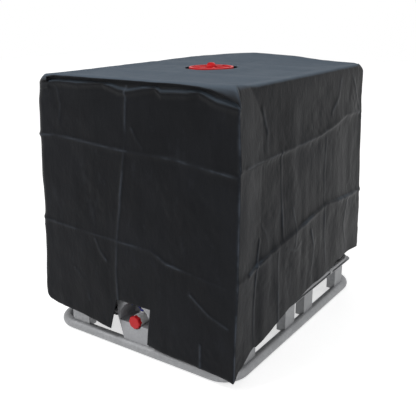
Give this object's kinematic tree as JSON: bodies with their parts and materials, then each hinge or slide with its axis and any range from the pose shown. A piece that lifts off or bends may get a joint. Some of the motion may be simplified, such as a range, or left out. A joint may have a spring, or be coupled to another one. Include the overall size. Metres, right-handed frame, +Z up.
{
  "type": "intermediate bulk container",
  "caption": "Caged plastic tote on a tubular steel pallet under a loose black cover, with a screw lid on top and a quarter-turn outlet valve at the front.",
  "frame": {"origin": "on the floor at the centre of the footprint", "axes": "+Z up; -Y towards the outlet valve at the front, +X to the right of someone facing the valve, along the shorter side"},
  "size_m": [1.028, 1.228, 1.173],
  "materials": {
    "galvanised_steel": "galvanised, satin",
    "zinc_fasteners": "zinc plated",
    "label_plate": "satin, blank",
    "guard_sheet": "galvanised sheet",
    "bottle_plastic": "translucent natural polyethylene",
    "valve_white": "satin",
    "valve_black": "satin",
    "seat_plastic": "satin",
    "ball_plastic": "polished",
    "steel_stem": "turned",
    "rubber_seal": "matt",
    "red_plastic": "satin moulded",
    "blue_plastic": "satin moulded",
    "cover_film": "coated black film"
  },
  "bodies": {
    "tote": {"base_rails": "galvanised_steel", "base_corners": "galvanised_steel", "front_feet": "galvanised_steel", "back_feet": "galvanised_steel", "left_feet": "galvanised_steel", "right_feet": "galvanised_steel", "deck_panel": "galvanised_steel", "deck_beams": "galvanised_steel", "cage_front_rails": "galvanised_steel", "cage_back_rails": "galvanised_steel", "cage_left_rails": "galvanised_steel", "cage_right_rails": "galvanised_steel", "cage_corner_bends": "galvanised_steel", "cage_front_uprights": "galvanised_steel", "cage_back_uprights": "galvanised_steel", "cage_left_uprights": "galvanised_steel", "cage_right_uprights": "galvanised_steel", "cage_clips": "galvanised_steel", "cage_clip_bolts": "zinc_fasteners", "cage_clip_nuts": "zinc_fasteners", "top_bar_front": "galvanised_steel", "top_bar_back": "galvanised_steel", "top_bar_bolts": "zinc_fasteners", "label_plate_front": "label_plate", "label_plate_back": "label_plate", "tank_bottle": "bottle_plastic", "valve_body": "valve_white", "valve_outlet_adapter": "valve_white", "valve_seats": "seat_plastic", "valve_union_nut": "valve_black", "valve_inlet_gasket": "rubber_seal", "valve_guard": "guard_sheet", "valve_recess_pan": "guard_sheet"},
    "fill_seal": {"fill_cap_gasket": "rubber_seal"},
    "fill_cap": {"fill_cap": "red_plastic"},
    "vent_seal": {"vent_plug_gasket": "rubber_seal"},
    "vent_plug": {"vent_plug": "red_plastic"},
    "valve_lever": {"valve_lever": "blue_plastic", "lever_screw": "zinc_fasteners", "valve_stem": "steel_stem", "stem_o_rings": "rubber_seal", "valve_ball": "ball_plastic"},
    "outlet_seal": {"outlet_cap_gasket": "rubber_seal"},
    "outlet_cap": {"outlet_cap": "red_plastic"},
    "cover": {"cover_top": "cover_film", "cover_front": "cover_film", "cover_back": "cover_film", "cover_left": "cover_film", "cover_right": "cover_film", "cover_corner_folds": "cover_film"}
  },
  "joints": [
    {"name": "fill_cap_lift", "type": "slide", "parent": "tote", "child": "fill_seal", "axis": [0, 0, 1], "range_m": [0, 0.01051]},
    {"name": "fill_cap_turn", "type": "hinge", "parent": "fill_seal", "child": "fill_cap", "pos_m": [0, 0, 1.14], "axis": [0, 0, 1], "range_deg": [0, 540]},
    {"name": "vent_lift", "type": "slide", "parent": "fill_cap", "child": "vent_seal", "axis": [0, 0, 1], "range_m": [0, 0.006]},
    {"name": "vent_turn", "type": "hinge", "parent": "vent_seal", "child": "vent_plug", "pos_m": [0, 0, 1.15], "axis": [0, 0, 1], "range_deg": [0, 720]},
    {"name": "valve_turn", "type": "hinge", "parent": "tote", "child": "valve_lever", "pos_m": [0, -0.532, 0.18], "axis": [0, 0, 1], "range_deg": [0, 90]},
    {"name": "outlet_cap_slide", "type": "slide", "parent": "tote", "child": "outlet_seal", "axis": [0, -1, 0], "range_m": [0, 0.01201]},
    {"name": "outlet_cap_turn", "type": "hinge", "parent": "outlet_seal", "child": "outlet_cap", "pos_m": [0, -0.587, 0.142], "axis": [0, -1, 0], "range_deg": [0, 720]},
    {"name": "cover_lift", "type": "slide", "parent": "tote", "child": "cover", "axis": [0, 0, 1], "range_m": [0, 1.25]}
  ],
  "couplings": [
    {"joint": "fill_cap_lift", "follows": "fill_cap_turn", "m_per_rad": 0.0011141},
    {"joint": "vent_lift", "follows": "vent_turn", "m_per_rad": 0.00047746},
    {"joint": "outlet_cap_slide", "follows": "outlet_cap_turn", "m_per_rad": 0.00095493}
  ]
}
